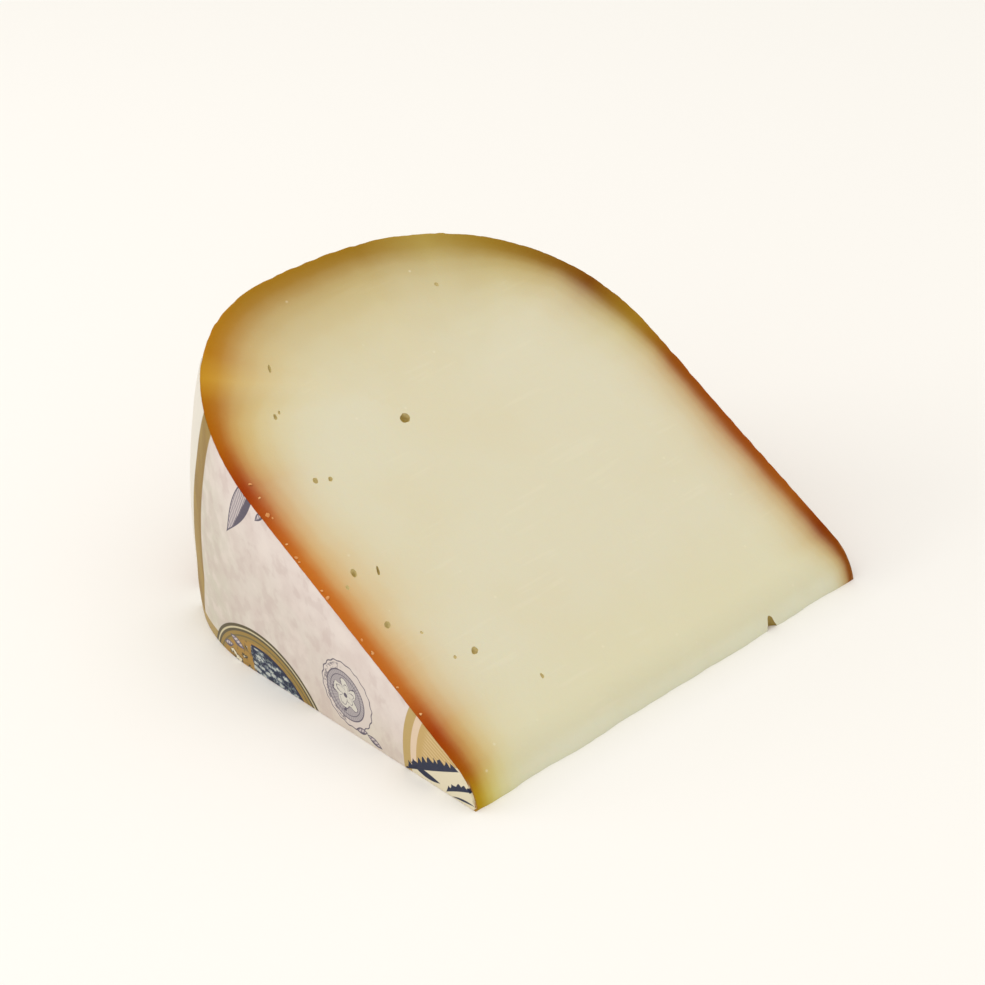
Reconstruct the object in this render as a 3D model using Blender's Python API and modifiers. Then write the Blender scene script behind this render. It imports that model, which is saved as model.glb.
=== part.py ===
"""A wedge of a small farmhouse cheese wheel, lying on one of its two cut faces.

The wedge is a sector of a wheel whose axis lies along Y: the labelled face of the wheel
looks along -Y, the rim along -X, and the blunt tip of the wedge is at +X. Paste and
natural rind are one solid. The only other piece is the sector of the wheel's paper label.
"""
import math

import bmesh
import bpy
from mathutils import Matrix

# ---- driving dimensions, in metres and degrees ------------------------------------
WHEEL_HEIGHT = 0.100           # across the two flat faces of the wheel
WHEEL_RADIUS = 0.123           # at the widest line of the rim
WEDGE_ANGLE = 32.5             # between the two cut faces
LABEL_FLAT_RADIUS = 0.080      # flat part of the labelled face
BACK_FLAT_RADIUS = 0.076       # flat part of the plain face
WIDEST_LINE = 0.0125           # how far the rim's widest line is towards the label
LABEL_SHOULDER_FULLNESS = 2.42
BACK_SHOULDER_FULLNESS = 2.53
NOSE_SETBACK = 0.009           # from the wheel's axis to the blunt tip
NOSE_RADIUS = 0.0095           # rounding between the tip and the upper cut face
LABEL_RADIUS = 0.113           # the paper laps over onto the rounded shoulder
LABEL_THICKNESS = 0.0003
LABEL_GAP = 0.0003             # between the paper and the rind
LABEL_FLOOR_GAP = 0.0004       # the paper ends just above the lower cut face

WHEEL_STEPS = 240
SHOULDER_SEGMENTS = 18
NOSE_SEGMENTS = 10
CUTTER_MARGIN = 0.02

# Eyes in the upper cut face: distance from the wheel's axis, offset towards the
# label from the middle of the wheel's height, and diameter, all in millimetres.
EYES = (
    (82, 11, 2.2), (78.5, 36, 1.3), (77.5, 33, 1.2), (94.5, 34, 1.1), (95, 32.5, 0.9),
    (58, 42, 1.5), (56, 37.5, 1.3), (56, 45, 1.0), (46, 43, 1.4), (33, 32, 1.6),
    (104.5, 28, 1.1), (22, 24, 1.2), (105.5, -15.5, 1.0),
)
EYE_SINK = 0.25                # how deep an eye's centre lies, as a share of its radius

CHIP_OFFSET = 0.0263           # the chip in the tip, from the middle towards the back
CHIP_RADIUS = 0.0017           # at the tip's lower edge
CHIP_TOP_RADIUS = 0.0002
CHIP_HEIGHT = 0.0046
CHIP_OVERLAP = 0.0005          # how far its cutter runs past the lower cut face

# ---- places worked out from the dimensions -----------------------------------------
COS_WEDGE = math.cos(math.radians(WEDGE_ANGLE))
TAN_WEDGE = math.tan(math.radians(WEDGE_ANGLE))
SKIN = LABEL_GAP + LABEL_THICKNESS
# The origin is under the middle of the whole object's box.
AXIS_X = (WHEEL_RADIUS + NOSE_SETBACK) / 2
AXIS_Y = SKIN / 2
# The wheel is drawn with its axis along its own Z, label up, and then laid on its cut
# face: its Z turns to -Y and its Y turns to +Z.
LAID_DOWN = Matrix.Translation((AXIS_X, AXIS_Y, 0)) @ Matrix.Rotation(math.pi / 2, 4, "X")


def clear_scene():
    for thing in list(bpy.data.objects):
        bpy.data.objects.remove(thing, do_unlink=True)


def new_collection(name):
    collection = bpy.data.collections.new(name)
    bpy.context.scene.collection.children.link(collection)
    return collection


def make_material(name, colour, roughness):
    material = bpy.data.materials.new(name)
    material.use_nodes = True
    shader = material.node_tree.nodes["Principled BSDF"]
    shader.inputs["Base Color"].default_value = (*colour, 1.0)
    shader.inputs["Roughness"].default_value = roughness
    shader.inputs["Metallic"].default_value = 0.0
    return material


def mesh_object(name, mesh, collection, matrix=LAID_DOWN):
    thing = bpy.data.objects.new(name, mesh)
    thing.matrix_world = matrix
    collection.objects.link(thing)
    return thing


def as_cutter(thing):
    thing.hide_render = True
    thing.display_type = "WIRE"
    return thing


def shoulder_point(t, flat_radius, fullness, side):
    """Radius and height on one rounded shoulder, from the flat (t = 0) to the widest line."""
    radius = flat_radius + (WHEEL_RADIUS - flat_radius) * math.sin(t)
    rise = side * WHEEL_HEIGHT / 2 - WIDEST_LINE
    height = WIDEST_LINE + rise * max(math.cos(t), 0.0) ** (2 / fullness)
    return radius, height


def shoulder(flat_radius, fullness, side, end=math.pi / 2):
    """Points of one shoulder, closer together where it bends down into the rim."""
    points = []
    for i in range(SHOULDER_SEGMENTS + 1):
        t = end * math.sin(math.pi / 2 * i / SHOULDER_SEGMENTS)
        points.append(shoulder_point(t, flat_radius, fullness, side))
    return points


def turned(name, profile, collection):
    """A profile of (radius, height) points, listed from top to bottom, turned about Z."""
    mesh = bpy.data.meshes.new(name)
    shape = bmesh.new()
    rail = [shape.verts.new((radius, 0.0, height)) for radius, height in profile]
    for above, below in zip(rail, rail[1:]):
        shape.edges.new((above, below))
    shape.to_mesh(mesh)
    shape.free()
    thing = mesh_object(name, mesh, collection)
    screw = thing.modifiers.new("turn", "SCREW")
    screw.axis = "Z"
    screw.angle = 2 * math.pi
    screw.steps = WHEEL_STEPS
    screw.render_steps = WHEEL_STEPS
    screw.use_merge_vertices = True
    screw.merge_threshold = 0.00001
    return thing


def cut_by(thing, cutter, operation):
    boolean = thing.modifiers.new(cutter.name, "BOOLEAN")
    boolean.operation = operation
    boolean.solver = "EXACT"
    boolean.object = cutter


def sector_outline(floor):
    """The wedge seen along the wheel's axis: rim to the left, blunt tip to the right."""
    reach = WHEEL_RADIUS + CUTTER_MARGIN
    nose_x = -NOSE_SETBACK - NOSE_RADIUS
    nose_y = -nose_x * TAN_WEDGE - NOSE_RADIUS / COS_WEDGE
    outline = [(-reach, floor), (-NOSE_SETBACK, floor)]
    for i in range(NOSE_SEGMENTS + 1):
        turn = math.radians(90 - WEDGE_ANGLE) * i / NOSE_SEGMENTS
        outline.append((nose_x + NOSE_RADIUS * math.cos(turn),
                        nose_y + NOSE_RADIUS * math.sin(turn)))
    outline.append((-reach, reach * TAN_WEDGE))
    return outline


def sector_cutter(name, floor, collection):
    """The sector's outline as a prism, longer than the wheel is high."""
    curve = bpy.data.curves.new(name, "CURVE")
    curve.dimensions = "2D"
    curve.fill_mode = "BOTH"
    curve.extrude = WHEEL_HEIGHT / 2 + CUTTER_MARGIN
    outline = sector_outline(floor)
    spline = curve.splines.new("POLY")
    spline.points.add(len(outline) - 1)
    for point, (x, y) in zip(spline.points, outline):
        point.co = (x, y, 0.0, 1.0)
    spline.use_cyclic_u = True
    drawn = mesh_object(name + "_outline", curve, collection)
    bpy.context.view_layer.update()
    evaluated = drawn.evaluated_get(bpy.context.evaluated_depsgraph_get())
    mesh = bpy.data.meshes.new_from_object(evaluated)
    bpy.data.objects.remove(drawn)
    shape = bmesh.new()
    shape.from_mesh(mesh)
    bmesh.ops.remove_doubles(shape, verts=shape.verts, dist=0.00001)
    bmesh.ops.recalc_face_normals(shape, faces=shape.faces)
    shape.to_mesh(mesh)
    shape.free()
    return as_cutter(mesh_object(name, mesh, collection))


def ball_cutter(name, centre, radius, collection):
    mesh = bpy.data.meshes.new(name)
    shape = bmesh.new()
    bmesh.ops.create_uvsphere(shape, u_segments=12, v_segments=8, radius=radius)
    shape.to_mesh(mesh)
    shape.free()
    place = LAID_DOWN @ Matrix.Translation(centre)
    return as_cutter(mesh_object(name, mesh, collection, place))


def eye_cutters(collection):
    """One ball for each eye, sunk a little below the upper cut face."""
    sin_wedge = math.sin(math.radians(WEDGE_ANGLE))
    cutters = []
    for number, (from_axis, towards_label, diameter) in enumerate(EYES, start=1):
        radius = diameter / 2000
        sunk = EYE_SINK * radius
        along = from_axis / 1000
        centre = (-along * COS_WEDGE - sunk * sin_wedge,
                  along * sin_wedge - sunk * COS_WEDGE,
                  towards_label / 1000)
        cutters.append(ball_cutter(f"eye_cutter_{number}", centre, radius, collection))
    return cutters


def chip_cutter(collection):
    """A small upright cone that takes a chip out of the tip's lower edge."""
    mesh = bpy.data.meshes.new("chip_cutter")
    shape = bmesh.new()
    bmesh.ops.create_cone(shape, cap_ends=True, segments=8, radius1=CHIP_RADIUS,
                          radius2=CHIP_TOP_RADIUS, depth=CHIP_HEIGHT + CHIP_OVERLAP)
    shape.to_mesh(mesh)
    shape.free()
    middle = (CHIP_HEIGHT - CHIP_OVERLAP) / 2
    place = Matrix.Translation((AXIS_X - NOSE_SETBACK, AXIS_Y + CHIP_OFFSET, middle))
    return as_cutter(mesh_object("chip_cutter", mesh, collection, place))


def shade(thing):
    mesh = thing.data
    mesh.shade_smooth()
    mesh.set_sharp_from_angle(angle=math.radians(30))


def build_cheese(parts, cutters):
    """Paste and rind: the turned wheel, cut to the sector, with its eyes and chip."""
    label_side = shoulder(LABEL_FLAT_RADIUS, LABEL_SHOULDER_FULLNESS, +1)
    back_side = shoulder(BACK_FLAT_RADIUS, BACK_SHOULDER_FULLNESS, -1)
    profile = [(0.0, WHEEL_HEIGHT / 2), *label_side, *back_side[-2::-1],
               (0.0, -WHEEL_HEIGHT / 2)]
    cheese = turned("cheese", profile, parts)
    cut_by(cheese, sector_cutter("sector_cutter", 0.0, cutters), "INTERSECT")
    for cutter in eye_cutters(cutters):
        cut_by(cheese, cutter, "DIFFERENCE")
    cut_by(cheese, chip_cutter(cutters), "DIFFERENCE")
    cheese.data.materials.append(make_material("cheese_paste", (0.74, 0.67, 0.47), 0.5))
    return cheese


def build_label(parts, cutters):
    """The paper: it follows the flat face and laps over onto the shoulder."""
    reach = (LABEL_RADIUS - LABEL_FLAT_RADIUS) / (WHEEL_RADIUS - LABEL_FLAT_RADIUS)
    lap = shoulder(LABEL_FLAT_RADIUS, LABEL_SHOULDER_FULLNESS, +1, end=math.asin(reach))
    label = turned("label", [(0.0, WHEEL_HEIGHT / 2), *lap], parts)
    lift = label.modifiers.new("lift", "DISPLACE")
    lift.direction = "NORMAL"
    lift.mid_level = 0.0
    lift.strength = LABEL_GAP
    sheet = label.modifiers.new("sheet", "SOLIDIFY")
    sheet.thickness = LABEL_THICKNESS
    sheet.offset = 1.0
    sheet.use_even_offset = True
    cut_by(label, sector_cutter("label_cutter", LABEL_FLOOR_GAP, cutters), "INTERSECT")
    label.data.materials.append(make_material("printed_paper", (0.76, 0.69, 0.64), 0.55))
    return label


clear_scene()
parts = new_collection("cheese_wedge")
cutters = new_collection("cutters")
for built in (build_cheese(parts, cutters), build_label(parts, cutters)):
    shade(built)
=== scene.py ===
"""The looks of a wedge of farmhouse cheese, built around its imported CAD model.

The wedge is a sector of a wheel whose axis lies along Y. Positions on it are given as on
the wheel: the radius from the wheel's axis, the share of the wedge's angle above the lower
cut face, and Y along the axis, with the label on the -Y side.
"""
import math

import bpy
import numpy as np
from mathutils import Matrix, Vector, noise


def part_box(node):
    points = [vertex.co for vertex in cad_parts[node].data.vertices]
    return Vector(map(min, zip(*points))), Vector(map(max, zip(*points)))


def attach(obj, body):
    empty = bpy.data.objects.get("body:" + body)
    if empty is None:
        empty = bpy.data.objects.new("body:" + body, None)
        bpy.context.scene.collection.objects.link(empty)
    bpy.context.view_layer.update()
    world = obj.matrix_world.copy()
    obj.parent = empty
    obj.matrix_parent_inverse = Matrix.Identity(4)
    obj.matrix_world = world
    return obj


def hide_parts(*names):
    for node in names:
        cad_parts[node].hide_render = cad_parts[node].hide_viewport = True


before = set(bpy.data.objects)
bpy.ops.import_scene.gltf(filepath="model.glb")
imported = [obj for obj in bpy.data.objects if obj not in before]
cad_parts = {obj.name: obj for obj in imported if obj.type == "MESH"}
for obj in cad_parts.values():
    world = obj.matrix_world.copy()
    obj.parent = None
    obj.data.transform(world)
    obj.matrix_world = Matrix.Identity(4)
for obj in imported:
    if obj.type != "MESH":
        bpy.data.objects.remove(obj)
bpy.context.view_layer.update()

MM = 0.001

# ---- the wheel, in metres: the same driving sizes as the CAD model ------------------
WHEEL_RADIUS = 0.123
WEDGE_ANGLE = math.radians(32.5)
LABEL_FLAT_RADIUS = 0.080
BACK_FLAT_RADIUS = 0.076
WIDEST_LINE = 0.0125
LABEL_SHOULDER_FULLNESS = 2.42
BACK_SHOULDER_FULLNESS = 2.53
NOSE_RADIUS = 0.0095
LABEL_RADIUS = 0.113

CHEESE_LOW, CHEESE_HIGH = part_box("cheese")
HALF_HEIGHT = (CHEESE_HIGH.y - CHEESE_LOW.y) / 2
MID_Y = (CHEESE_HIGH.y + CHEESE_LOW.y) / 2
AXIS_X = CHEESE_LOW.x + WHEEL_RADIUS
NOSE_SETBACK = AXIS_X - CHEESE_HIGH.x
CUT_ALONG = np.array([-math.cos(WEDGE_ANGLE), 0.0, math.sin(WEDGE_ANGLE)])
CUT_NORMAL = np.array([math.sin(WEDGE_ANGLE), 0.0, math.cos(WEDGE_ANGLE)])

# ---- how finely the pieces are modelled ---------------------------------------------
SPIN_STEPS = 76
GRID_ALONG = 150               # from the tip to the rim
GRID_ACROSS = 124              # from the labelled side to the plain side
NOSE_BLEND_START = 0.012       # the nose shape gives way to the turned shape
NOSE_BLEND_END = 0.046

CHUNK = 4000                   # points measured at one time
MERGE = 0.000004               # metres within which doubled points become one
LABEL_ALONG = 170              # the label's steps from the tip outwards
LABEL_ROUND = 88               # and from the lower cut face to the upper one
SMOOTH_CHEESE = math.radians(35)
SMOOTH_LABEL = math.radians(40)

# ---- the label, in metres --------------------------------------------------------------
LABEL_THICKNESS = 0.00030
LABEL_GAP = 0.00006            # between the rind and the paper
LABEL_TIP_GAP = 0.0009         # between the wedge's tip and the paper's
LABEL_TIP_MARGIN = 0.0003      # at least this far inside the wedge's foremost point
LABEL_FLOOR_GAP = 0.0001       # between the paper's foot and the table
LABEL_TRIM = 0.00022           # how far below the upper cut the paper stops
LABEL_RIPPLE = 0.00003         # how far its slow ripples lift it

# Eyes in the upper cut face: radius on the wheel, distance from the middle towards the
# back, width, length, and the lean of the length in degrees, all lengths in millimetres.
EYES = (
    (81.9, -11.2, 1.9, 2.5, 25), (78.6, -35.8, 1.0, 1.4, 30), (77.5, -33.0, 0.9, 1.2, 20),
    (94.4, -34.0, 0.7, 1.4, 20), (94.9, -32.7, 0.5, 1.0, 30), (58.1, -41.8, 1.1, 2.0, 15),
    (56.2, -37.4, 0.6, 2.1, 25), (56.1, -44.8, 0.7, 1.1, 10), (45.8, -43.1, 1.2, 1.5, 30),
    (33.0, -31.9, 1.3, 1.7, 30), (33.8, -36.1, 0.6, 0.8, 0), (41.2, -38.4, 0.5, 0.7, 0),
    (22.1, -24.0, 0.7, 1.2, 10), (104.4, -28.2, 0.6, 1.9, 25), (105.6, 15.4, 0.8, 1.0, 0),
)
EYE_SINK = 0.10                # an eye's centre below the cut, in millimetres
EYE_DEPTH = 0.38               # its depth, as a share of width and length together
CHIP_OFFSET = 0.0263           # the chip in the tip, from the wheel's middle to the back
CHIP_RADIUS = 0.0017
CHIP_HEIGHT = 0.0046
CHIP_OVERLAP = 0.0006
# Crumbs: radius on the wheel, distance from the middle towards the back, and size, in
# millimetres.
CRUMBS = (
    (84.0, -47.5, 0.6), (80.6, -47.8, 0.4), (76.6, -48.7, 0.8), (75.6, -48.2, 0.45),
    (66.2, -49.4, 0.7), (65.2, -49.5, 0.5), (58.0, -49.5, 0.45), (56.2, -49.6, 0.65),
    (45.6, -49.3, 0.5), (42.3, -49.2, 0.65), (34.2, -49.5, 0.45), (27.6, -49.2, 0.5),
    (69.6, -49.3, 0.4),
)
CRUMB_SINK = 0.08              # a crumb's middle below the cut, in millimetres

# ---- how worn the surface is, in millimetres ---------------------------------------------
CUT_WAVES = 0.10
RIND_LUMPS = 0.16
EDGE_WEAR = 0.06
EDGE_NICKS = 0.30
TIP_WAVES = 0.24
SHOULDER_SLACK = 0.38

# ---- camera and light -------------------------------------------------------------------
CAMERA_AIM = (-0.0014, 0.0067, 0.01915)
CAMERA_TURN = (53.425, 30.19, -7.672)      # azimuth, elevation and roll in degrees
CAMERA_DISTANCE = 0.5134
CAMERA_LENS = 91.57
FLOOR_SIZE = 8.0
ROOM_LIGHT = 0.80
OVERHEAD_WATTS = 7.0
SIDE_WATTS = 2.2
PAINT_LEVEL = 0.93             # paints are picked as they show, so they are dimmed by this


# ---- small helpers for modelling -----------------------------------------------------
def deselect():
    bpy.ops.object.select_all(action="DESELECT")


def pick(thing):
    deselect()
    thing.select_set(True)
    bpy.context.view_layer.objects.active = thing


def edit(thing):
    pick(thing)
    bpy.ops.object.mode_set(mode="EDIT")
    bpy.ops.mesh.select_all(action="SELECT")


def end_edit():
    bpy.ops.object.mode_set(mode="OBJECT")


def added(name):
    """The primitive that was just added, under its own name."""
    thing = bpy.context.active_object
    thing.name = name
    thing.data.name = name
    return thing


def points_of(thing):
    flat = np.empty(len(thing.data.vertices) * 3)
    thing.data.vertices.foreach_get("co", flat)
    return flat.reshape(-1, 3)


def move_points(thing, points):
    thing.data.vertices.foreach_set("co", np.ascontiguousarray(points, dtype=np.float64).ravel())
    thing.data.update()


def normals_of(thing):
    flat = np.empty(len(thing.data.vertices) * 3)
    thing.data.vertices.foreach_get("normal", flat)
    return flat.reshape(-1, 3)


def apply_modifiers(thing):
    pick(thing)
    for modifier in list(thing.modifiers):
        bpy.ops.object.modifier_apply(modifier=modifier.name)


def settle(thing):
    """Puts a piece's place into its mesh, so that its object sits at the origin."""
    pick(thing)
    bpy.ops.object.transform_apply(location=True, rotation=True, scale=True)


def join(things, name):
    deselect()
    for thing in things:
        thing.select_set(True)
    bpy.context.view_layer.objects.active = things[0]
    bpy.ops.object.join()
    return added(name)


def smoothstep(low, high, value):
    t = np.clip((value - low) / (high - low), 0, 1)
    return t * t * (3 - 2 * t)


def rough_field(points, size, octaves=3, seed=0.0):
    """Fractal noise from about -1 to 1 at each point, with features of the given size."""
    shift = Vector((seed, seed * 1.7, -seed * 0.6))
    return np.array([noise.fractal(Vector(p) / size + shift, 0.9, 2.0, octaves)
                     for p in points])


# ---- the wheel's profile ---------------------------------------------------------------
def skin_offset(radius, side):
    """Distance along the axis, from the wheel's middle, of the rind at a radius."""
    flat = LABEL_FLAT_RADIUS if side < 0 else BACK_FLAT_RADIUS
    fullness = LABEL_SHOULDER_FULLNESS if side < 0 else BACK_SHOULDER_FULLNESS
    sine = np.clip((radius - flat) / (WHEEL_RADIUS - flat), 0, 1)
    cosine = np.sqrt(1 - sine * sine)
    return -WIDEST_LINE + (side * HALF_HEIGHT + WIDEST_LINE) * cosine ** (2 / fullness)


def profile_line(count=900):
    """The rind's line from the tip on the label's side, round the rim, to the tip at the
    back: radius, offset from the middle, and the share of the way walked."""
    turn = np.linspace(0, math.pi / 2, count)
    parts = []
    for side, flat in ((-1, LABEL_FLAT_RADIUS), (+1, BACK_FLAT_RADIUS)):
        straight = np.linspace(NOSE_SETBACK, flat, count)[:-1]
        bent = flat + (WHEEL_RADIUS - flat) * np.sin(turn)
        radius = np.concatenate([straight, bent])
        parts.append((radius, skin_offset(radius, side)))
    radius = np.concatenate([parts[0][0], parts[1][0][-2::-1]])
    offset = np.concatenate([parts[0][1], parts[1][1][-2::-1]])
    steps = np.hypot(np.diff(radius), np.diff(offset))
    walked = np.concatenate([[0], np.cumsum(steps)])
    return radius, offset, walked / walked[-1]


PROFILE_RADIUS, PROFILE_OFFSET, PROFILE_WALK = profile_line()


def on_profile(walk):
    return (np.interp(walk, PROFILE_WALK, PROFILE_RADIUS),
            np.interp(walk, PROFILE_WALK, PROFILE_OFFSET))


def nose_outline(along):
    """A point of the wedge's outline, seen along the axis, at a distance walked from the
    tip's foot: up the blunt tip, round the nose and up the cut face. Returns its distance
    in front of the axis and its height."""
    centre_x = NOSE_SETBACK + NOSE_RADIUS
    centre_z = centre_x * math.tan(WEDGE_ANGLE) - NOSE_RADIUS / math.cos(WEDGE_ANGLE)
    bend = math.pi / 2 - WEDGE_ANGLE
    turn = np.clip((along - centre_z) / NOSE_RADIUS, 0, bend)
    past = np.maximum(along - centre_z - NOSE_RADIUS * bend, 0)
    ahead = centre_x - NOSE_RADIUS * np.cos(turn) + past * math.cos(WEDGE_ANGLE)
    height = (np.minimum(along, centre_z) + NOSE_RADIUS * np.sin(turn)
              + past * math.sin(WEDGE_ANGLE))
    return ahead, height


def nose_length(radius):
    """How far along the outline the cut face reaches a radius."""
    centre_x = NOSE_SETBACK + NOSE_RADIUS
    centre_z = centre_x * math.tan(WEDGE_ANGLE) - NOSE_RADIUS / math.cos(WEDGE_ANGLE)
    bend = math.pi / 2 - WEDGE_ANGLE
    touch = centre_x * math.cos(WEDGE_ANGLE) + centre_z * math.sin(WEDGE_ANGLE)
    return centre_z + NOSE_RADIUS * bend + radius - touch


def shape_nose(points):
    """Turns the inner end of a spun sector into the wedge's blunt, rounded tip."""
    ahead, height = AXIS_X - points[:, 0], points[:, 2]
    radius = np.hypot(ahead, height)
    share = np.clip(np.arctan2(height, ahead) / WEDGE_ANGLE, 0, 1)
    stretch = nose_length(NOSE_BLEND_END) / (NOSE_BLEND_END - NOSE_SETBACK)
    top_x, top_z = nose_outline(np.maximum(radius - NOSE_SETBACK, 0) * stretch)
    chord_x = radius + (top_x - radius) * share
    chord_z = top_z * share
    turned = smoothstep(NOSE_BLEND_START, NOSE_BLEND_END, radius)
    shaped = points.copy()
    shaped[:, 0] = AXIS_X - (chord_x + (ahead - chord_x) * turned)
    shaped[:, 2] = chord_z + (height - chord_z) * turned
    return shaped


# ---- where points lie on the wheel -------------------------------------------------------
def wheel_place(points):
    """Radius from the axis, share of the wedge's angle, and offset from the middle."""
    ahead, height = AXIS_X - points[:, 0], points[:, 2]
    return (np.hypot(ahead, height), np.arctan2(height, ahead) / WEDGE_ANGLE,
            points[:, 1] - MID_Y)


def shoulder_dip(radius, share):
    """The shoulder beside the label is a little slack between the two cuts, in metres."""
    across = smoothstep(0.088, 0.104, radius) * (1 - smoothstep(0.108, 0.122, radius))
    along = smoothstep(0.0, 0.3, share) * (1 - smoothstep(0.7, 1.0, share))
    return SHOULDER_SLACK * MM * across * along


def distance_to_rind(points):
    """How deep each point lies under the rind, and where along the rind's line it is."""
    radius, _, offset = wheel_place(points)
    here = np.stack([radius, offset], axis=1)
    line = np.stack([PROFILE_RADIUS, PROFILE_OFFSET], axis=1)[::3]
    depth, walk = np.empty(len(here)), np.empty(len(here))
    for start in range(0, len(here), CHUNK):
        part = slice(start, start + CHUNK)
        apart = np.linalg.norm(here[part, None, :] - line[None, :, :], axis=2)
        nearest = apart.argmin(axis=1)
        depth[part] = apart.min(axis=1)
        walk[part] = PROFILE_WALK[::3][nearest]
    return depth, walk


def keep_value(thing, name, values):
    """Stores one number for each point, for the materials to read."""
    attribute = thing.data.attributes.new(name, "FLOAT", "POINT")
    attribute.data.foreach_set("value", np.asarray(values, dtype=np.float32))


def on_upper_cut(radius, towards_back, above=0.0):
    """A point of the upper cut face, in metres, from millimetres on the wheel."""
    place = CUT_ALONG * radius * MM + CUT_NORMAL * above * MM
    return Vector((AXIS_X + place[0], MID_Y + towards_back * MM, place[2]))


# ---- the cheese ------------------------------------------------------------------------
def crowded(share, strength=0.55):
    """Moves evenly spaced shares towards both ends, for finer steps at the edges."""
    return share - strength * np.sin(2 * math.pi * share) / (2 * math.pi)


def section_points(u, v):
    """Fits a square of shares, tip to rim and label to back, to the wheel's section."""
    corner = (0.335, 0.668)    # where the shoulders turn from the sides into the rim
    u, v = crowded(u, 0.45), crowded(v)
    label = on_profile(u * corner[0])
    plain = on_profile(1 - u * (1 - corner[1]))
    rim = on_profile(corner[0] + v * (corner[1] - corner[0]))
    tip = (NOSE_SETBACK + 0 * v, HALF_HEIGHT * (2 * v - 1))
    label_end, plain_end = on_profile(corner[0]), on_profile(corner[1])
    ends = ((NOSE_SETBACK, NOSE_SETBACK, label_end[0], plain_end[0]),
            (-HALF_HEIGHT, HALF_HEIGHT, label_end[1], plain_end[1]))
    fitted = []
    for i in (0, 1):
        sides = (1 - v) * label[i] + v * plain[i] + (1 - u) * tip[i] + u * rim[i]
        corners = ((1 - u) * (1 - v) * ends[i][0] + (1 - u) * v * ends[i][1]
                   + u * (1 - v) * ends[i][2] + u * v * ends[i][3])
        fitted.append(sides - corners)
    return fitted


def spun_sector():
    """The section of the wheel, spun through the wedge's angle into one closed solid."""
    deselect()
    bpy.ops.mesh.primitive_grid_add(x_subdivisions=GRID_ALONG, y_subdivisions=GRID_ACROSS,
                                    size=1)
    cheese = added("cheese_wedge")
    square = points_of(cheese)
    radius, offset = section_points(square[:, 0] + 0.5, square[:, 1] + 0.5)
    move_points(cheese, np.stack([AXIS_X - radius, MID_Y + offset, 0 * radius], axis=1))
    edit(cheese)
    bpy.ops.mesh.spin(steps=SPIN_STEPS, angle=-WEDGE_ANGLE, center=(AXIS_X, 0, 0),
                      axis=(0, 1, 0))
    end_edit()
    move_points(cheese, shape_nose(points_of(cheese)))
    edit(cheese)
    bpy.ops.mesh.remove_doubles(threshold=MERGE)
    bpy.ops.mesh.normals_make_consistent(inside=False)
    end_edit()
    return cheese


def weather(cheese):
    """Works the hand-made unevenness into the surface, always inwards: slow waves in the
    cut, a lumpier rind, and small nicks along the edges. The lower face stays flat."""
    points = points_of(cheese)
    normals = normals_of(cheese)
    depth, _ = distance_to_rind(points)
    rind = 1 - smoothstep(0.0, 0.4 * MM, depth)
    above_floor = smoothstep(0.0, 3 * MM, points[:, 2])
    waves = rough_field(points * (1, 0.35, 1), 16 * MM, 2, seed=3.1)
    lumps = rough_field(points, 7 * MM, 3, seed=8.4)
    sink = CUT_WAVES * (1 + waves) * (1 - rind) + RIND_LUMPS * (1 + lumps) * rind
    radius, share, _ = wheel_place(points)
    edge = rind * smoothstep(0.985, 1.0, share)
    nicks = rough_field(points, 1.6 * MM, 2, seed=5.5)
    sink += edge * (EDGE_WEAR + EDGE_NICKS * np.maximum(nicks, 0))
    labelled = (points[:, 1] < MID_Y) * rind
    sink *= 1 - labelled * (1 - smoothstep(LABEL_RADIUS - 2 * MM, LABEL_RADIUS, radius))
    sink += labelled * shoulder_dip(radius, share) / MM
    moved = points - normals * (np.maximum(sink, 0) * above_floor * MM)[:, None]
    blunt = 1 - smoothstep(NOSE_SETBACK + 0.6 * MM, NOSE_SETBACK + 7 * MM, radius)
    wavy = rough_field(points * (0.4, 1, 0.4), 9 * MM, 3, seed=7.7)
    moved[:, 0] -= blunt * TIP_WAVES * (1 + np.clip(1.6 * wavy, -1, 1)) * MM
    moved[:, 2] = np.maximum(moved[:, 2], 0)
    move_points(cheese, moved)


def eye_cutters():
    """One lopsided ball for each eye, sunk into the upper cut face, as one cutter."""
    balls = []
    for number, (radius, towards_back, width, length, lean) in enumerate(EYES):
        deselect()
        bpy.ops.mesh.primitive_ico_sphere_add(subdivisions=3, radius=0.5 * MM)
        ball = added(f"eye_{number}")
        shape = points_of(ball)
        shape *= 1 + 0.24 * rough_field(shape, 0.6 * MM, 2, seed=number + 0.3)[:, None]
        shape *= (length, width, EYE_DEPTH * (width + length))
        place = (Matrix.Translation(on_upper_cut(radius, towards_back, -EYE_SINK))
                 @ Matrix.Rotation(WEDGE_ANGLE, 4, "Y")
                 @ Matrix.Rotation(math.radians(-lean), 4, "Z"))
        move_points(ball, shape)
        ball.data.transform(place)
        balls.append(ball)
    return join(balls, "eye_cutter")


def chip_cutter():
    """An upright, uneven cone that leaves the chip in the tip."""
    deselect()
    bpy.ops.mesh.primitive_cone_add(vertices=28, radius1=CHIP_RADIUS, radius2=0.0001,
                                    depth=CHIP_HEIGHT + 2 * CHIP_OVERLAP,
                                    location=(0, 0, CHIP_HEIGHT / 2))
    cone = added("chip_cutter")
    edit(cone)
    bpy.ops.mesh.subdivide(number_cuts=5)
    end_edit()
    settle(cone)
    shape = points_of(cone)
    shape[:, :2] *= 1 + 0.18 * rough_field(shape, 1.1 * MM, 2, seed=2.2)[:, None]
    shape[:, 1] = np.where(shape[:, 1] < 0, 0.45 * shape[:, 1], 1.25 * shape[:, 1])
    shape += (CHEESE_HIGH.x, MID_Y + CHIP_OFFSET, 0)
    move_points(cone, shape)
    return cone


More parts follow.
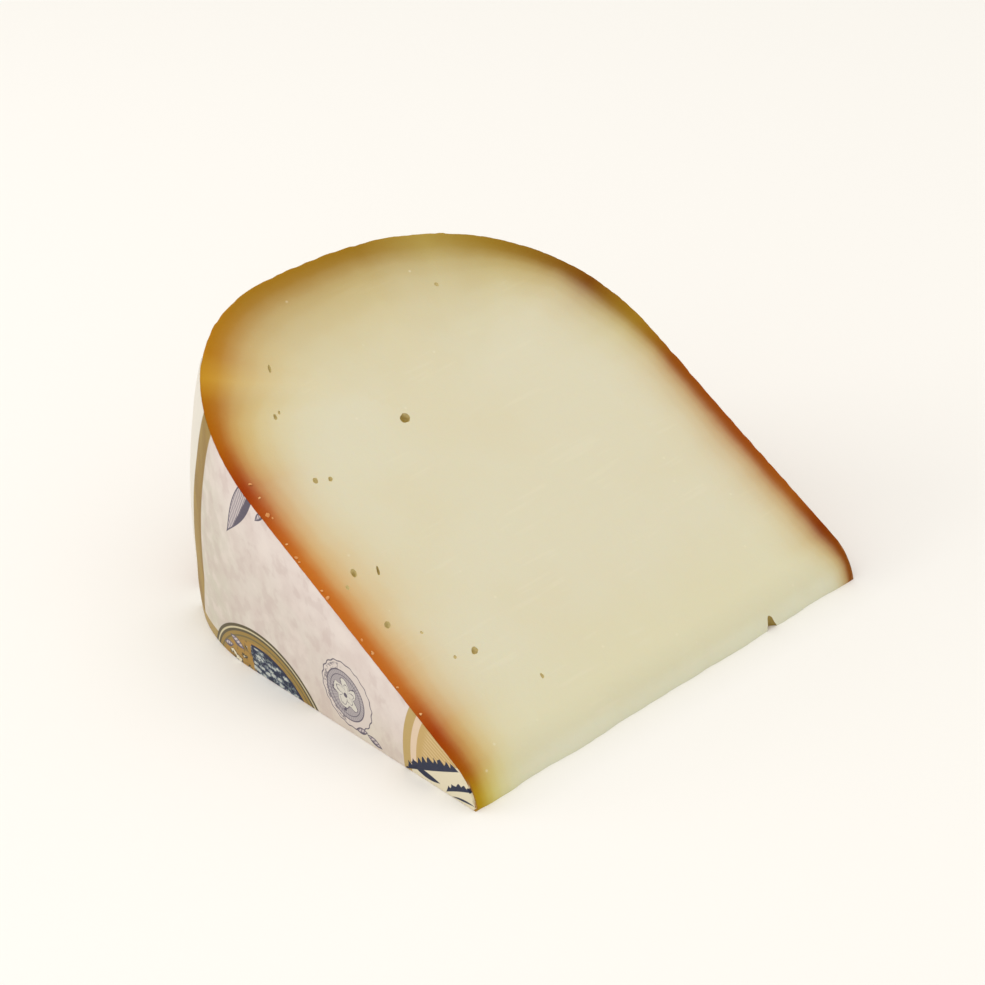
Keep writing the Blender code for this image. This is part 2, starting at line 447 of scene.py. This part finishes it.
def cut_away(thing, cutter, material):
    """Cuts one piece with another, which lines the cut with its own material."""
    cutter.data.materials.clear()
    cutter.data.materials.append(material)
    boolean = thing.modifiers.new(cutter.name, "BOOLEAN")
    boolean.operation = "DIFFERENCE"
    boolean.solver = "EXACT"
    boolean.object = cutter
    boolean.material_mode = "TRANSFER"
    apply_modifiers(thing)
    bpy.data.objects.remove(cutter)


def model_cheese():
    cheese = spun_sector()
    weather(cheese)
    cheese.data.materials.clear()
    cheese.data.materials.append(cheese_material())
    lining = eye_material()
    cut_away(cheese, eye_cutters(), lining)
    cut_away(cheese, chip_cutter(), lining)
    depth, walk = distance_to_rind(points_of(cheese))
    keep_value(cheese, "rind_depth", depth)
    keep_value(cheese, "rim_walk", walk)
    radius, share, _ = wheel_place(points_of(cheese))
    below_cut = radius * np.sin(WEDGE_ANGLE * (1 - share)) / MM
    cut_edge = np.where(walk < 0.4, 0.9, 0.25)      # wider where the paper stops short of it
    keep_value(cheese, "outer_rind",
               (depth < 0.7 * MM) & (share > 0.003) & (below_cut > cut_edge))
    pick(cheese)
    bpy.ops.object.shade_smooth_by_angle(angle=SMOOTH_CHEESE)
    return cheese


def model_crumbs():
    """Tiny crumbs of paste that the knife left along the edge beside the label."""
    crumbs = []
    for number, (radius, towards_back, size) in enumerate(CRUMBS):
        deselect()
        bpy.ops.mesh.primitive_ico_sphere_add(subdivisions=2, radius=size / 2 * MM)
        crumb = added(f"crumb_{number}")
        shape = points_of(crumb)
        shape *= 1 + 0.6 * rough_field(shape, 0.25 * MM, 2, seed=number * 1.3 + 0.7)[:, None]
        shape *= (1.5, 1.0, 0.5)
        move_points(crumb, shape)
        crumb.data.transform(Matrix.Translation(on_upper_cut(radius, towards_back, -CRUMB_SINK))
                             @ Matrix.Rotation(number * 1.1, 4, CUT_NORMAL))
        crumbs.append(crumb)
    heap = join(crumbs, "cut_crumbs")
    heap.data.materials.clear()
    heap.data.materials.append(crumb_material())
    bpy.ops.object.shade_smooth()
    return heap


# ---- the label --------------------------------------------------------------------------
def model_label():
    """The paper: a sector of a disc that follows the wheel's face and its shoulder."""
    deselect()
    bpy.ops.mesh.primitive_grid_add(x_subdivisions=LABEL_ALONG, y_subdivisions=LABEL_ROUND,
                                    size=1)
    label = added("paper_label")
    square = points_of(label)
    start = NOSE_SETBACK + LABEL_TIP_GAP
    radius = start + (LABEL_RADIUS - start) * (square[:, 0] + 0.5)
    turn = WEDGE_ANGLE * (square[:, 1] + 0.5)
    sheet = np.stack([AXIS_X - radius * np.cos(turn), MID_Y + skin_offset(radius, -1),
                      radius * np.sin(turn)], axis=1)
    move_points(label, shape_nose(sheet))
    edit(label)
    bpy.ops.mesh.normals_make_consistent(inside=False)
    end_edit()
    if normals_of(label)[:, 1].mean() > 0:
        edit(label)
        bpy.ops.mesh.flip_normals()
        end_edit()
    share = square[:, 1] + 0.5
    ripple = rough_field(points_of(label), 9 * MM, 3, seed=6.2)
    fray = rough_field(points_of(label), 1.3 * MM, 2, seed=9.7)
    rim = smoothstep(0.94, 1.0, share)
    lift = LABEL_GAP + LABEL_RIPPLE * ((1 + ripple) * (1 - rim) + np.maximum(fray, 0) * rim)
    lift -= shoulder_dip(radius, share)
    shape = points_of(label) + normals_of(label) * lift[:, None]
    trim = smoothstep(0.97, 1.0, share) * LABEL_TRIM * (1 + 0.4 * fray)
    shape -= CUT_NORMAL * trim[:, None]
    shape[:, 0] = np.minimum(shape[:, 0], CHEESE_HIGH.x - LABEL_TIP_MARGIN)
    shape[:, 2] += LABEL_FLOOR_GAP * (1 - share)
    move_points(label, shape)
    paper = label.modifiers.new("paper", "SOLIDIFY")
    paper.thickness = LABEL_THICKNESS
    paper.offset = -1.0
    apply_modifiers(label)
    label.data.materials.clear()
    label.data.materials.append(label_material())
    bpy.ops.object.shade_smooth_by_angle(angle=SMOOTH_LABEL)
    return label


# ---- materials ----------------------------------------------------------------------------
def tone(red, green, blue):
    """A colour given 0 to 255 in each channel, as linear light."""
    linear = []
    for level in (red, green, blue):
        share = level / 255
        light = share / 12.92 if share <= 0.04045 else ((share + 0.055) / 1.055) ** 2.4
        linear.append(light * PAINT_LEVEL)
    return (*linear, 1.0)


class Value:
    """The output of a node, so that shader maths reads as plain sums."""

    def __init__(self, paint, socket):
        self.paint = paint
        self.socket = socket

    def __add__(self, other):
        return self.paint.maths("ADD", self, other)

    def __sub__(self, other):
        return self.paint.maths("SUBTRACT", self, other)

    def __rsub__(self, other):
        return self.paint.maths("SUBTRACT", other, self)

    def __mul__(self, other):
        return self.paint.maths("MULTIPLY", self, other)

    def __truediv__(self, other):
        return self.paint.maths("DIVIDE", self, other)

    __radd__ = __add__
    __rmul__ = __mul__


class Paint:
    """One material and its nodes."""

    def __init__(self, name):
        self.material = bpy.data.materials.new(name)
        self.material.use_nodes = True
        self.tree = self.material.node_tree
        self.shader = self.tree.nodes["Principled BSDF"]
        self.place = self.node("TexCoord", out="Object")

    def fill(self, socket, value):
        if isinstance(value, Value):
            self.tree.links.new(value.socket, socket)
        else:
            socket.default_value = value

    def node(self, kind, settings=None, inputs=None, out=0):
        """Adds a node, with its settings first and then the values of its sockets."""
        node = self.tree.nodes.new("ShaderNode" + kind)
        for name, value in (settings or {}).items():
            if name == "stops":
                ramp = node.color_ramp
                while len(ramp.elements) < len(value):
                    ramp.elements.new(1.0)
                for element, (position, colour) in zip(ramp.elements, value):
                    element.position = position
                    element.color = colour
            elif name == "interpolation":
                node.color_ramp.interpolation = value
            else:
                setattr(node, name, value)
        for name, value in (inputs or {}).items():
            self.fill(node.inputs[name], value)
        return Value(self, node.outputs[out])

    def maths(self, operation, *values):
        return self.node("Math", {"operation": operation}, dict(enumerate(values)))

    def set(self, **sockets):
        """Fills the shader's sockets: base_color fills Base Color, and so on."""
        for name, value in sockets.items():
            title = name.replace("_", " ").title().replace("Ior", "IOR")
            self.fill(self.shader.inputs[title], value)

    def split(self, vector):
        node = self.node("SeparateXYZ", {}, {0: vector}).socket.node
        return [Value(self, output) for output in node.outputs]

    def attribute(self, name):
        return self.node("Attribute", {"attribute_name": name}, out="Fac")

    def noise(self, size, detail=2.0, stretch=(1, 1, 1), seed=0.0):
        """Noise with features of a size in millimetres, longer where stretch is below 1."""
        vector = self.node("Mapping", {}, {"Vector": self.place, "Scale": stretch,
                                           "Location": (seed, -seed, seed / 2)})
        return self.node("TexNoise", {}, {"Vector": vector, "Scale": 1 / (size * MM),
                                          "Detail": detail}, "Fac")

    def cells(self, size, out="Distance", stretch=(1, 1, 1)):
        """Cells of a size in millimetres: the distance from their middles, or a colour."""
        vector = self.node("Mapping", {}, {"Vector": self.place, "Scale": stretch})
        return self.node("TexVoronoi", {}, {"Vector": vector, "Scale": 1 / (size * MM)}, out)

    def mix(self, share, first, second):
        return self.node("Mix", {"data_type": "RGBA"}, {0: share, 6: first, 7: second}, 2)

    def tint(self, share, first, second, pale):
        """Goes from one colour to another as a dye does, through deeper colours."""
        rest = self.node("Gamma", {}, {0: first, 1: 1 - share})
        dye = self.node("Gamma", {}, {0: second, 1: share})
        deep = self.node("Mix", {"data_type": "RGBA", "blend_type": "MULTIPLY"},
                         {0: 1.0, 6: rest, 7: dye}, 2)
        return self.mix(pale, deep, self.mix(share, first, second))

    def ramp(self, value, stops, interpolation="LINEAR"):
        """Colours, or plain numbers as greys, spread along a value from 0 to 1."""
        full = [(at, level if isinstance(level, tuple) else (level, level, level, 1.0))
                for at, level in stops]
        return self.node("ValToRGB", {"stops": full, "interpolation": interpolation},
                         {0: value})

    def above(self, value, edge, soft):
        """1 where a value is above an edge, 0 below it, and smooth between."""
        return self.node("MapRange", {"interpolation_type": "SMOOTHSTEP"},
                         {0: value, 1: edge - soft / 2, 2: edge + soft / 2, 3: 0.0, 4: 1.0})

    def below(self, value, edge, soft):
        return 1 - self.above(value, edge, soft)

    def band(self, value, low, high, soft):
        return self.above(value, low, soft) * self.below(value, high, soft)

    def bump(self, height, depth, strength=1.0):
        """A bump map whose full height is a depth in millimetres."""
        normal = self.node("Bump", {}, {"Height": height, "Distance": depth * MM,
                                        "Strength": strength})
        self.fill(self.shader.inputs["Normal"], normal)


# The colour of the rind's edge, along its line from the label's side of the tip.
RIND_EDGE = (
    (0.000, tone(184, 150, 24)), (0.018, tone(160, 86, 8)), (0.050, tone(158, 60, 4)),
    (0.085, tone(188, 104, 34)), (0.140, tone(194, 108, 34)), (0.190, tone(196, 110, 34)),
    (0.222, tone(184, 92, 26)), (0.255, tone(156, 56, 4)), (0.290, tone(172, 94, 8)),
    (0.330, tone(174, 108, 14)), (0.352, tone(198, 146, 42)), (0.375, tone(180, 122, 22)),
    (0.430, tone(164, 118, 28)), (0.530, tone(156, 117, 30)), (0.585, tone(175, 149, 72)),
    (0.630, tone(156, 122, 38)), (0.680, tone(140, 98, 26)), (0.715, tone(126, 74, 14)),
    (0.760, tone(158, 120, 32)), (0.800, tone(146, 78, 16)), (0.880, tone(151, 74, 18)),
    (0.935, tone(158, 86, 22)), (0.965, tone(130, 54, 4)), (1.000, tone(140, 76, 14)),
)
# How far the rind's colour reaches in, along the same line, as a share of FADE_DEPTH.
RIND_REACH = (
    (0.00, 0.30), (0.05, 0.33), (0.14, 0.42), (0.20, 0.37), (0.26, 0.38), (0.31, 0.50),
    (0.355, 0.88), (0.39, 0.82), (0.43, 0.88), (0.52, 0.76), (0.575, 0.94), (0.61, 0.82),
    (0.65, 0.56), (0.69, 0.40), (0.75, 0.42), (0.79, 0.30), (0.97, 0.28),
    (1.00, 0.14),
)
# How softly the colour starts at the rind, along the same line.
RIND_START = (
    (0.00, 0.035), (0.05, 0.045), (0.30, 0.050), (0.36, 0.055), (0.60, 0.055), (0.66, 0.02),
    (0.72, 0.00), (1.00, 0.00),
)
# How strong the rind's colour is, from the rind inwards over FADE_DEPTH millimetres.
RIND_FADE = (
    (0.00, 1.00), (0.085, 0.98), (0.130, 0.85), (0.19, 0.56), (0.26, 0.345), (0.37, 0.18),
    (0.50, 0.088), (0.67, 0.03), (1.00, 0.00),
)
FADE_DEPTH = 60.0


def cheese_material():
    """Satin pale paste that darkens through tan and orange into the natural rind."""
    paint = Paint("paste_and_rind")
    x, _, z = paint.split(paint.place)
    ahead, height = (AXIS_X - x) / MM, z / MM
    radius = paint.maths("SQRT", ahead * ahead + height * height)
    depth = paint.attribute("rind_depth") / MM
    walk = paint.attribute("rim_walk")
    drift = paint.noise(16, 2.0) - 0.5
    wander = paint.noise(3.5, 3.0, seed=0.4) - 0.5

    clouds = paint.above(paint.noise(24, 2.0, seed=0.9), 0.54, 0.25)
    paste = paint.mix(clouds * 0.5, tone(223, 217, 190), tone(222, 213, 181))
    tip = paint.below(radius + wander * 6, 24, 26)
    paste = paint.mix(tip * 0.8, paste, tone(222, 217, 184))
    # Paler and greener towards the blunt nose: painted light, the floor's light on the rounded
    # tip.
    paste = paint.mix(paint.below(radius, 13, 9) * 0.6, paste, tone(222, 219, 190))
    paste = paint.mix(paint.below(radius + wander, 10.4, 2.4) * 0.5, paste, tone(230, 231, 210))
    streaks = paint.above(paint.noise(1.1, 2.0, (1, 0.06, 1), seed=0.6), 0.62, 0.12)
    paste = paint.mix(streaks * paint.above(paint.noise(13, 1.0, seed=1.3), 0.55, 0.1) * 0.25,
                      paste, tone(230, 224, 198))

    edge = paint.ramp(walk + drift * 0.02, RIND_EDGE)
    reach = paint.ramp(walk, RIND_REACH) * (1 + drift * 0.4)
    inward = (depth + wander * paint.band(depth, 0.8, 9, 2) * 0.7) / (reach * FADE_DEPTH)
    start = paint.ramp(walk, RIND_START)
    strength = paint.ramp(inward + start, RIND_FADE, "CARDINAL")
    colour = paint.tint(strength, paste, edge, reach * 0.6 + paint.above(walk, 0.69, 0.05) * 0.22)

    specks = paint.cells(2.3)
    chosen = paint.above(paint.split(paint.cells(2.3, out="Color"))[0], 0.95, 0.01)
    pale = paint.below(specks, 0.11, 0.16) * chosen * paint.above(depth, 3, 1)
    colour = paint.mix(pale * 0.4, colour, tone(238, 231, 205))

    outside = paint.attribute("outer_rind")
    mottle = paint.noise(7, 4.0, seed=2.2)
    skin = paint.mix(paint.above(mottle, 0.5, 0.3), tone(168, 106, 44), tone(138, 80, 28))
    skin = paint.mix(paint.above(paint.noise(22, 3.0, seed=2.9), 0.5, 0.25) * 0.5, skin,
                     tone(176, 130, 60))
    skin = paint.mix(paint.above(paint.noise(1.3, 3.0, seed=3.1), 0.60, 0.24) * 0.34, skin,
                     tone(198, 156, 96))
    skin = paint.mix(paint.below(paint.noise(0.9, 3.0, seed=3.6), 0.36, 0.1) * 0.5, skin,
                     tone(96, 52, 18))
    colour = paint.mix(outside, colour, paint.mix(0.25, skin, edge))

    fine = paint.noise(0.5, 3.0, seed=4.0)
    pores = paint.noise(1.4, 3.0, seed=5.0)
    grain = paint.noise(1.0, 2.0, (1, 0.08, 1), seed=6.0)
    relief = fine * 0.3 + grain * 0.4 * (1 - outside) + (pores * 2.2 + mottle) * outside
    paint.bump(relief, 0.12, 0.7)
    paint.set(base_color=colour, roughness=0.50 - outside * 0.10 + (pores - 0.5) * 0.12,
              coat_weight=outside * 0.25, coat_roughness=0.35, specular_ior_level=0.03,
              subsurface_weight=0.12, subsurface_radius=(1.0, 0.62, 0.30),
              subsurface_scale=0.002)
    return paint.material


def eye_material():
    """The moist lining of the eyes and of the chip, paler at the rim and darker deeper down; the
    darkening with depth is painted shade in the hollows.
    """
    paint = Paint("eye_lining")
    x, _, z = paint.split(paint.place)
    below_cut = ((AXIS_X - x) * math.sin(WEDGE_ANGLE) - z * math.cos(WEDGE_ANGLE)) / MM
    patches = paint.noise(0.9, 2.0)
    # Painted shade: the lining darkens the deeper it lies below the cut face, in the eyes and the
    # chip.
    deep = paint.above(below_cut + (patches - 0.5) * 0.4, 0.5, 0.8)
    paint.set(base_color=paint.mix(deep, tone(216, 198, 138), tone(156, 131, 52)),
              roughness=0.42 + patches * 0.1)
    paint.bump(paint.noise(0.3, 2.0), 0.05)
    return paint.material


def crumb_material():
    paint = Paint("crumb_paste")
    paint.set(base_color=paint.mix(paint.above(paint.noise(1.2, 2.0), 0.5, 0.3),
                                   tone(234, 184, 122), tone(222, 148, 78)), roughness=0.6)
    paint.bump(paint.noise(0.15, 2.0), 0.03)
    return paint.material


class LabelPrint(Paint):
    """Inks laid one over another on the paper. Places are in millimetres on the face of
    the wheel: across from the axis towards the rim, and up from the lower cut face."""

    def __init__(self, name):
        super().__init__(name)
        x, _, z = self.split(self.place)
        self.across, self.up = (AXIS_X - x) / MM, z / MM
        self.radius = self.length(self.across, self.up)
        self.colour = None

    def length(self, across, up):
        return self.maths("SQRT", across * across + up * up)

    def turned(self, across, up, degrees):
        """The place measured along and beside a line through a point."""
        ahead, side = self.across - across, self.up - up
        cosine, sine = math.cos(math.radians(degrees)), math.sin(math.radians(degrees))
        return ahead * cosine + side * sine, side * cosine - ahead * sine

    def ink(self, mask, colour):
        self.colour = self.mix(mask, self.colour, colour)


GOLD_DARK = tone(112, 98, 56)
NAVY = tone(22, 32, 62)
VIOLET = tone(88, 80, 96)
OLIVE = tone(86, 76, 50)
CREAM = tone(226, 216, 188)
SOFT = 0.14                    # millimetres over which an ink's edge fades


def paper_colour(label):
    """Mottled paper: pinkish beside the upper cut, yellower low down, greyer by the rim."""
    cloud = label.noise(20, 2.0, seed=1.1)
    blotch = label.noise(6, 4.0, seed=0.3)
    strokes = label.noise(3.2, 3.0, (1, 1, 0.8), seed=0.8)
    to_cut = label.below(label.across * math.tan(WEDGE_ANGLE) - label.up + cloud * 8, 16, 24)
    low = label.below(label.up + cloud * 3, 7, 12)
    colour = label.mix(to_cut, tone(217, 207, 197), tone(229, 217, 211))
    colour = label.mix(low * 0.6, colour, tone(216, 207, 186))
    colour = label.mix(label.above(label.across, 82, 16) * 0.8, colour, tone(198, 192, 174))
    colour = label.mix(label.above(blotch, 0.50, 0.30) * 0.34, colour, tone(204, 184, 178))
    colour = label.mix(label.above(strokes, 0.60, 0.14) * 0.28, colour, tone(190, 168, 162))
    return label.mix(label.below(strokes, 0.42, 0.16) * 0.30, colour, tone(234, 222, 214))


def leaf(label, across, up, turn, long, wide):
    """A pointed leaf: an outline, a dark half, and a pale half with fine hatching."""
    ahead, side = label.turned(across, up, turn)
    reach = ahead / long
    swell = label.maths("POWER", label.maths("MAXIMUM", 1 - reach * reach, 0.0), 1.3) * wide
    beyond = label.above(reach * reach, 1.0, 0.02)
    within = swell - label.maths("ABSOLUTE", side) - beyond
    curl = (label.noise(1.6, 2.0, seed=2.4) - 0.5) * 4.0
    hatch = label.above(label.maths("SINE", ahead * 6.5 + side * 5.0 + curl), 0.1, 0.8)
    pale = label.mix(hatch * 0.75, tone(204, 192, 190), tone(112, 102, 118))
    label.ink(label.above(within, -0.02, SOFT), VIOLET)
    light = label.above(side + curl * 0.1, wide * -0.3, 0.4)
    label.ink(label.above(within, 0.26, SOFT) * light, pale)


def stroke(label, across, up, turn, long, wide, bend=0.0, spikes=0.0):
    """A tapering brush stroke, with spikes along its upper side if asked for."""
    ahead, side = label.turned(across, up, turn)
    curl = side + ahead * ahead * bend
    reach = ahead / long
    swell = (1 - reach * reach) * wide - label.above(reach * reach, 1.0, 0.02)
    teeth = label.maths("PINGPONG", ahead + label.noise(2, 1.0) * 2.5, 0.95) * spikes
    upper = label.below(curl - swell - teeth * label.above(swell, 0.1, 0.3), 0.0, SOFT)
    label.ink(upper * label.above(curl + swell, 0.0, SOFT), NAVY)


def blossoms(label, bed, apart, size, edge, petals):
    """Ragged little blossoms strewn over a bed, each with an edge and a pale middle."""
    ragged = (label.noise(apart * 0.4, 2.0, seed=apart) - 0.5) * 0.8
    out = label.cells(apart, stretch=(0.5, 1, 1)) + ragged
    label.ink(bed * label.below(out, size, 0.10), edge)
    label.ink(bed * label.below(out, size * 0.7, 0.10), petals)


def print_rim(label):
    """The gold ring that runs round the label's shoulder, the plain border past it, and a
    gold patch at the foot. The border is pale print, lightened further as a painted
    highlight on the shoulder."""
    spread = label.below(label.up, 8, 14) * 3.6
    ring = label.radius - spread
    outer = 103.6 - label.above(label.up, 32, 36) * 1.6
    # The pale border: print, lightened as a painted highlight where the shoulder catches the side
    # light.
    label.ink(label.above(ring - outer, 0.0, SOFT * 3), tone(222, 216, 204))
    sheen = label.noise(4, 2.0, (1, 1, 0.3), seed=2.0)
    label.ink(label.above(ring, 97.0, SOFT * 3) * label.below(ring - outer, 0.0, SOFT * 3),
              label.mix(label.above(sheen, 0.5, 0.4), tone(138, 106, 30), tone(156, 126, 48)))
    label.ink(label.below(label.up, 3.0, SOFT) * label.band(label.across, 91, 106, 1),
              tone(168, 142, 82))


def print_medallion(label):
    """A large gold roundel, cut by the lower face: rims, a gold field, a navy garden."""
    ahead, side = label.across - 75.5, label.up + 10.6
    out = label.length(ahead, side)
    label.ink(label.below(out, 21.5, SOFT), OLIVE)
    label.ink(label.below(out, 20.8, SOFT), tone(204, 192, 154))
    label.ink(label.below(out, 20.4, SOFT), OLIVE)
    label.ink(label.below(out, 19.8, SOFT), tone(152, 124, 58))
    label.ink(label.band(out, 18.6, 19.0, SOFT), GOLD_DARK)
    field = label.above(label.noise(1.8, 2.0), 0.56, 0.1)
    label.ink(label.below(out, 17.9, SOFT), label.mix(field * 0.5, tone(168, 130, 58), OLIVE))
    label.ink(label.below(out, 17.5, SOFT)
              * label.below(label.across + label.noise(3, 2.0) * 3, 79.4, SOFT), NAVY)
    garden = label.below(out, 16.9, SOFT) * label.below(label.across, 78.2, SOFT)
    stems = label.band(label.noise(2.6, 2.0, seed=4.4), 0.49, 0.52, 0.02)
    label.ink(garden * stems * 0.7, tone(120, 132, 128))
    blossoms(label, garden, 1.1, 0.50, tone(104, 114, 126), tone(188, 193, 186))
    beds = label.below(out, 16.6, SOFT) * label.above(label.across, 79.6, SOFT)
    blossoms(label, beds, 1.8, 0.50, tone(62, 54, 36), CREAM)
    for across, up, lean, long, wide in ((83.2, 5.0, 20, 2.6, 1.0), (87.2, 2.8, -15, 2.2, 0.8)):
        leaf(label, across, up, lean, long, wide)


def print_seal(label):
    """A small round seal with a wavy rim and a rosette."""
    ahead, side = label.across - 45.7, label.up - 9.2
    out = label.length(ahead, side)
    turn = label.maths("ARCTAN2", side, ahead)
    wavy = out + label.maths("SINE", turn * 19) * 0.13 + label.noise(1.2, 1.0) * 0.3
    label.ink(label.below(wavy, 7.75, SOFT), VIOLET)
    label.ink(label.below(wavy, 7.50, SOFT), tone(217, 205, 197))
    stipple = label.above(label.noise(0.55, 2.0, seed=3.3), 0.52, 0.1)
    label.ink(label.below(out, 7.0, SOFT) * label.above(ahead, 1.0, 2.0) * stipple * 0.7, VIOLET)
    inner = label.length(ahead - 0.5, side + 0.3)
    label.ink(label.below(inner, 5.75, SOFT), VIOLET)
    rays = label.above(label.maths("SINE", turn * 46), 0.0, 1.2)
    label.ink(label.below(inner, 5.5, SOFT),
              label.mix(rays * 0.5, tone(176, 168, 168), tone(132, 124, 134)))
    label.ink(label.band(inner, 4.45, 4.62, SOFT), VIOLET)
    ruffle = (label.noise(1.5, 2.0, seed=5.1) - 0.5) * 2.4
    swirl = turn * 2.5 + inner * 0.35 + ruffle * 0.4
    lobes = inner + ruffle - label.maths("ABSOLUTE", label.maths("SINE", swirl)) * 1.7
    label.ink(label.below(lobes, 2.15, SOFT), VIOLET)
    label.ink(label.below(lobes, 1.9, SOFT), tone(214, 209, 198))
    label.ink(label.band(lobes, 0.75, 0.95, SOFT), VIOLET)
    label.ink(label.below(inner, 0.55, SOFT), VIOLET)
    leaf(label, 42.6, 2.2, -12, 2.0, 0.75)
    leaf(label, 38.8, 1.5, 18, 2.4, 0.8)


def print_roundel(label):
    """The middle of the label: a gold ring, fine gold hatching and navy waves."""
    label.ink(label.below(label.radius, 29.9, SOFT), tone(188, 160, 98))
    label.ink(label.below(label.radius, 27.7, SOFT), tone(224, 200, 172))
    label.ink(label.below(label.radius, 26.0, SOFT), tone(196, 164, 102))
    _, beside = label.turned(0, 0, 28)
    lines = label.maths("SINE", beside * 7.0)
    label.ink(label.below(label.radius, 24.2, 1.5) * label.above(lines, 0.1, 0.9) * 0.6,
              tone(222, 196, 150))
    _, rise = label.turned(20.5, 4.6, -23.5)
    label.ink(label.below(label.radius, 27.6, SOFT) * label.below(rise, 0.2, SOFT), CREAM)
    stroke(label, 21.4, 4.25, -23.5, 9.2, 0.85, 0.008, 1.3)
    stroke(label, 23.6, 1.55, 6, 4.4, 0.74, -0.02)
    stroke(label, 13.6, 3.0, -24, 4.8, 0.5, 0.03, 0.7)
    stroke(label, 12.6, 0.9, -8, 3.4, 0.26, 0.02)


def label_material():
    label = LabelPrint("printed_paper")
    label.colour = paper_colour(label)
    print_rim(label)
    print_medallion(label)
    print_seal(label)
    leaf(label, 71.4, 42.0, -51, 12.2, 2.4)
    leaf(label, 65.4, 41.2, -40, 2.6, 0.7)
    print_roundel(label)
    fibres = label.noise(0.5, 3.0, (1, 0.5, 1), seed=7.0)
    crinkle = label.noise(3.0, 3.0, seed=8.0)
    label.bump(fibres * 0.3 + crinkle, 0.06, 0.6)
    label.set(base_color=label.colour, roughness=0.46 + fibres * 0.14,
              specular_ior_level=0.28)
    return label.material


def floor_material():
    paint = Paint("pale_table")
    paint.set(base_color=paint.mix(paint.noise(300, 2.0), (0.885, 0.872, 0.845, 1.0),
                                   (0.89, 0.877, 0.85, 1.0)),
              roughness=0.9, specular_ior_level=0.1)
    return paint.material


# ---- table, light and camera ------------------------------------------------------------
def lay_table():
    deselect()
    bpy.ops.mesh.primitive_plane_add(size=FLOOR_SIZE)
    floor = added("table")
    floor.data.materials.append(floor_material())


def softbox(name, place, aim, size, watts, colour):
    data = bpy.data.lights.new(name, "AREA")
    data.energy = watts
    data.size = size
    data.color = colour
    light = bpy.data.objects.new(name, data)
    light.location = place
    light.rotation_euler = (Vector(aim) - Vector(place)).to_track_quat("-Z", "Y").to_euler()
    bpy.context.scene.collection.objects.link(light)


def light_room():
    world = bpy.data.worlds.new("room")
    world.use_nodes = True
    background = world.node_tree.nodes["Background"]
    background.inputs["Color"].default_value = (1.0, 0.975, 0.93, 1.0)
    background.inputs["Strength"].default_value = ROOM_LIGHT
    bpy.context.scene.world = world
    softbox("overhead", (0.20, -0.10, 1.30), (0, 0, 0.02), 1.6, OVERHEAD_WATTS, (1, 0.985, 0.96))
    softbox("side", (-0.62, -0.62, 0.30), (-0.02, -0.04, 0.03), 0.6, SIDE_WATTS, (1, 0.99, 0.97))
    bpy.context.scene.view_settings.view_transform = "Standard"


def place_camera():
    """Looks down at the blunt tip from the label's side, tilted a little to the left."""
    azimuth, elevation, roll = (math.radians(a) for a in CAMERA_TURN)
    back = Vector((math.sin(azimuth) * math.cos(elevation),
                   -math.cos(azimuth) * math.cos(elevation), math.sin(elevation)))
    right = Vector((math.cos(azimuth), math.sin(azimuth), 0))
    level = Matrix((right, back.cross(right), back)).transposed().to_4x4()
    data = bpy.data.cameras.new("camera")
    data.lens = CAMERA_LENS
    camera = bpy.data.objects.new("camera", data)
    camera.matrix_world = (Matrix.Translation(Vector(CAMERA_AIM) + back * CAMERA_DISTANCE)
                           @ Matrix.Rotation(roll, 4, back) @ level)
    bpy.context.scene.collection.objects.link(camera)
    bpy.context.scene.camera = camera


place_camera()
light_room()
lay_table()
for piece, node, slot in ((model_cheese(), "cheese", "cheese"),
                          (model_label(), "label", "label_paper"),
                          (model_crumbs(), None, "cheese")):
    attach(piece, "root")
    if node:
        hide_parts(node)
